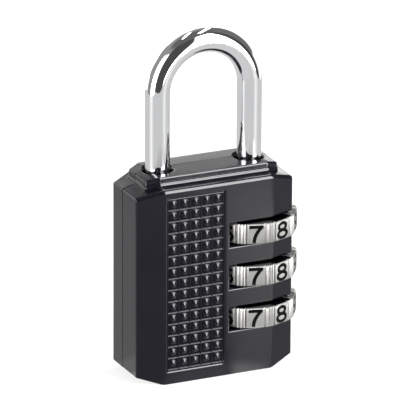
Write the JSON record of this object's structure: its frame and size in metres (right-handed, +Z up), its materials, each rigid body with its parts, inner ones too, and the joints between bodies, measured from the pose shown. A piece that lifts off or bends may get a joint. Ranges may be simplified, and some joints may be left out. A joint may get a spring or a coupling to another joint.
{
  "type": "combination padlock",
  "caption": "Pocket-size combination padlock: bevelled two-shell case with a studded grip panel, side number dials and a U-shaped shackle that lifts when the code lines up.",
  "frame": {"origin": "middle of the case's flat base, in the plane of the shackle", "axes": "+Z up towards the shackle, +X towards the dials, -Y the front face"},
  "size_m": [0.0434, 0.0232, 0.0842],
  "materials": {
    "case_paint": "semi-gloss black enamel on die-cast zinc",
    "shackle_chrome": "bright chrome plate on steel rod",
    "dial_nickel": "satin nickel plate on die-cast zinc",
    "digit_enamel": "black enamel fill in the sunk digits",
    "sleeve_brass": "plain turned brass",
    "spring_steel": "plain spring steel",
    "seat_nylon": "natural nylon",
    "pin_steel": "plain steel"
  },
  "bodies": {
    "case": {"front_shell": "case_paint", "back_shell": "case_paint", "click_spring": "spring_steel", "shackle_spring": "spring_steel", "spring_seat": "seat_nylon", "wave_washer_top": "spring_steel", "wave_washer_middle": "spring_steel", "wave_washer_bottom": "spring_steel", "case_pin_1": "pin_steel", "case_pin_2": "pin_steel", "case_pin_3": "pin_steel", "case_pin_4": "pin_steel", "case_pin_5": "pin_steel", "case_pin_6": "pin_steel"},
    "shackle_body": {"shackle": "shackle_chrome"},
    "top_dial": {"dial_top": "dial_nickel", "code_sleeve_top": "sleeve_brass"},
    "middle_dial": {"dial_middle": "dial_nickel", "code_sleeve_middle": "sleeve_brass"},
    "bottom_dial": {"dial_bottom": "dial_nickel", "code_sleeve_bottom": "sleeve_brass"}
  },
  "joints": [
    {"name": "shackle_lift", "type": "slide", "parent": "case", "child": "shackle_body", "axis": [0, 0, 1], "range_m": [0, 0.009], "deforming": ["shackle_spring"]},
    {"name": "top_dial_turn", "type": "hinge", "parent": "case", "child": "top_dial", "pos_m": [0.0118, 0, 0.03515], "axis": [0, 0, 1], "continuous": true},
    {"name": "middle_dial_turn", "type": "hinge", "parent": "case", "child": "middle_dial", "pos_m": [0.0118, 0, 0.0246], "axis": [0, 0, 1], "continuous": true},
    {"name": "bottom_dial_turn", "type": "hinge", "parent": "case", "child": "bottom_dial", "pos_m": [0.0118, 0, 0.01405], "axis": [0, 0, 1], "continuous": true}
  ]
}
